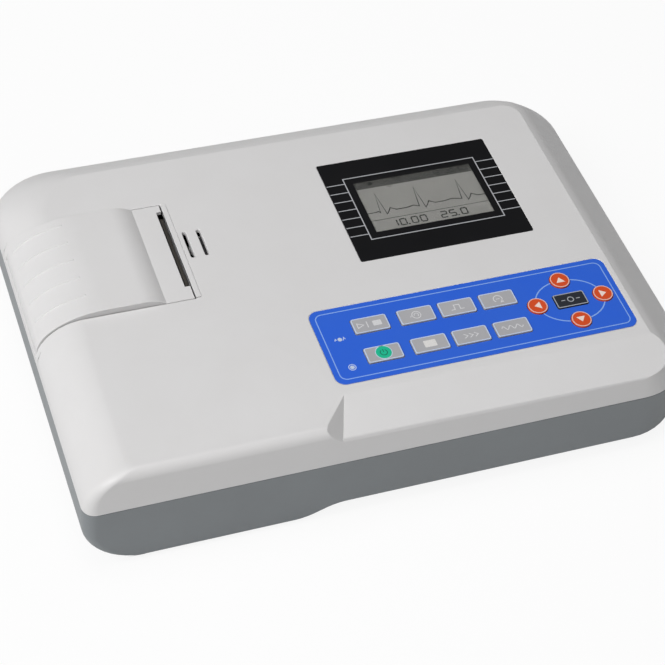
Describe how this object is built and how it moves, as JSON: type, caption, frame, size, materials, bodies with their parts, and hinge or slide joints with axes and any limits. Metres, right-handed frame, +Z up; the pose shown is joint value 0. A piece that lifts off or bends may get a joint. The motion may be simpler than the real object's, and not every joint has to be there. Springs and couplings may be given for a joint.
{
  "type": "ecg home monitor",
  "caption": "Desktop heart-trace recorder with a chart printer under a hinged door, a display and a keypad on a sloping white cover.",
  "frame": {"origin": "on the table, under the middle of the case", "axes": "+X to the right, +Y to the back, +Z up, seen from the keypad side"},
  "size_m": [0.314, 0.224, 0.0674],
  "materials": {
    "white_plastic": "fine moulded texture",
    "grey_plastic": "fine moulded texture",
    "foot_rubber": "matt",
    "mask_film": "satin printed film",
    "clear_window": "clear",
    "lcd": "grey-green",
    "keypad_film": "satin printed film",
    "key_grey": "satin",
    "key_orange": "satin",
    "key_black": "satin",
    "light_pipe": "clear",
    "dome_film": "clear film",
    "screw_steel": "zinc plated",
    "sheet_steel": "plated",
    "shaft_steel": "ground",
    "motor_can": "plated",
    "roller_rubber": "ground, matt",
    "gear_plastic": "natural",
    "brass": "turned",
    "head_ceramic": "glazed ceramic",
    "aluminium": "extruded",
    "chart_paper": "thermal paper with a faint red grid",
    "card": "paper board",
    "black_plastic": "moulded",
    "board_green": "solder mask",
    "winding": "taped winding on a dark core",
    "battery_wrap": "heat-shrunk sleeve",
    "socket_metal": "nickel plated"
  },
  "bodies": {
    "case": {"top_cover": "white_plastic", "bottom_case": "grey_plastic", "battery_door": "grey_plastic", "case_screws": "screw_steel", "left_feet": "foot_rubber", "right_feet": "foot_rubber", "display_mask": "mask_film", "display_lens": "clear_window", "lcd_glass": "lcd", "lcd_bezel": "sheet_steel", "display_board": "board_green", "keypad_overlay": "keypad_film", "dome_sheet": "dome_film", "keypad_board": "board_green", "status_lights": "light_pipe", "board_screws": "screw_steel", "door_hinge_pin": "screw_steel", "tear_bar": "white_plastic", "printer_frame": "sheet_steel", "platen_bushes": "gear_plastic", "idler_pin": "screw_steel", "feed_motor": "motor_can", "print_head": "head_ceramic", "heat_sink": "aluminium", "head_spring": "sheet_steel", "paper_tray": "white_plastic", "paper_spindle": "black_plastic", "main_board": "board_green", "power_board": "board_green", "transformer": "winding", "battery_pack": "battery_wrap", "beeper": "black_plastic", "mains_inlet": "black_plastic", "fuse_holders": "black_plastic", "earth_terminal": "brass", "patient_socket": "socket_metal", "data_port": "socket_metal"},
    "door": {"printer_door": "white_plastic"},
    "platen": {"platen_roller": "roller_rubber", "platen_shaft": "shaft_steel", "platen_gear": "gear_plastic"},
    "idler": {"idler_gear": "gear_plastic"},
    "motor_rotor": {"motor_shaft": "shaft_steel", "motor_pinion": "brass"},
    "roll": {"paper_roll": "chart_paper", "paper_core": "card"},
    "start_button": {"start_key": "key_grey"},
    "mode_button": {"mode_key": "key_grey"},
    "calibration_button": {"calibration_key": "key_grey"},
    "reset_button": {"reset_key": "key_grey"},
    "power_button": {"power_key": "key_grey"},
    "lead_button": {"lead_key": "key_grey"},
    "speed_button": {"speed_key": "key_grey"},
    "filter_button": {"filter_key": "key_grey"},
    "up_button": {"up_key": "key_orange"},
    "down_button": {"down_key": "key_orange"},
    "left_button": {"left_key": "key_orange"},
    "right_button": {"right_key": "key_orange"},
    "set_button": {"set_key": "key_black"}
  },
  "joints": [
    {"name": "door_hinge", "type": "hinge", "parent": "case", "child": "door", "pos_m": [-0.1537, 0.0177, 0.0465], "axis": [0, -1, 0], "range_deg": [0, 80]},
    {"name": "platen_spin", "type": "hinge", "parent": "case", "child": "platen", "pos_m": [-0.0844, 0.0196, 0.054], "axis": [0, 1, 0], "continuous": true},
    {"name": "idler_spin", "type": "hinge", "parent": "case", "child": "idler", "pos_m": [-0.0844, 0.0196, 0.0408], "axis": [0, 1, 0], "continuous": true},
    {"name": "motor_spin", "type": "hinge", "parent": "case", "child": "motor_rotor", "pos_m": [-0.0844, 0.0196, 0.0306], "axis": [0, 1, 0], "continuous": true},
    {"name": "roll_spin", "type": "hinge", "parent": "case", "child": "roll", "pos_m": [-0.1215, 0.0196, 0.0275], "axis": [0, 1, 0], "continuous": true},
    {"name": "start_press", "type": "slide", "parent": "case", "child": "start_button", "axis": [0, 0, -1], "range_m": [0, 0.0005], "stiffness_N_per_m": 400, "springref_m": -0.0005},
    {"name": "mode_press", "type": "slide", "parent": "case", "child": "mode_button", "axis": [0, 0, -1], "range_m": [0, 0.0005], "stiffness_N_per_m": 400, "springref_m": -0.0005},
    {"name": "calibration_press", "type": "slide", "parent": "case", "child": "calibration_button", "axis": [0, 0, -1], "range_m": [0, 0.0005], "stiffness_N_per_m": 400, "springref_m": -0.0005},
    {"name": "reset_press", "type": "slide", "parent": "case", "child": "reset_button", "axis": [0, 0, -1], "range_m": [0, 0.0005], "stiffness_N_per_m": 400, "springref_m": -0.0005},
    {"name": "power_press", "type": "slide", "parent": "case", "child": "power_button", "axis": [0, 0, -1], "range_m": [0, 0.0005], "stiffness_N_per_m": 400, "springref_m": -0.0005},
    {"name": "lead_press", "type": "slide", "parent": "case", "child": "lead_button", "axis": [0, 0, -1], "range_m": [0, 0.0005], "stiffness_N_per_m": 400, "springref_m": -0.0005},
    {"name": "speed_press", "type": "slide", "parent": "case", "child": "speed_button", "axis": [0, 0, -1], "range_m": [0, 0.0005], "stiffness_N_per_m": 400, "springref_m": -0.0005},
    {"name": "filter_press", "type": "slide", "parent": "case", "child": "filter_button", "axis": [0, 0, -1], "range_m": [0, 0.0005], "stiffness_N_per_m": 400, "springref_m": -0.0005},
    {"name": "up_press", "type": "slide", "parent": "case", "child": "up_button", "axis": [0, 0, -1], "range_m": [0, 0.0005], "stiffness_N_per_m": 400, "springref_m": -0.0005},
    {"name": "down_press", "type": "slide", "parent": "case", "child": "down_button", "axis": [0, 0, -1], "range_m": [0, 0.0005], "stiffness_N_per_m": 400, "springref_m": -0.0005},
    {"name": "left_press", "type": "slide", "parent": "case", "child": "left_button", "axis": [0, 0, -1], "range_m": [0, 0.0005], "stiffness_N_per_m": 400, "springref_m": -0.0005},
    {"name": "right_press", "type": "slide", "parent": "case", "child": "right_button", "axis": [0, 0, -1], "range_m": [0, 0.0005], "stiffness_N_per_m": 400, "springref_m": -0.0005},
    {"name": "set_press", "type": "slide", "parent": "case", "child": "set_button", "axis": [0, 0, -1], "range_m": [0, 0.0005], "stiffness_N_per_m": 400, "springref_m": -0.0005}
  ],
  "couplings": [
    {"joint": "idler_spin", "follows": "platen_spin", "ratio": -0.83333},
    {"joint": "motor_spin", "follows": "platen_spin", "ratio": 2}
  ]
}
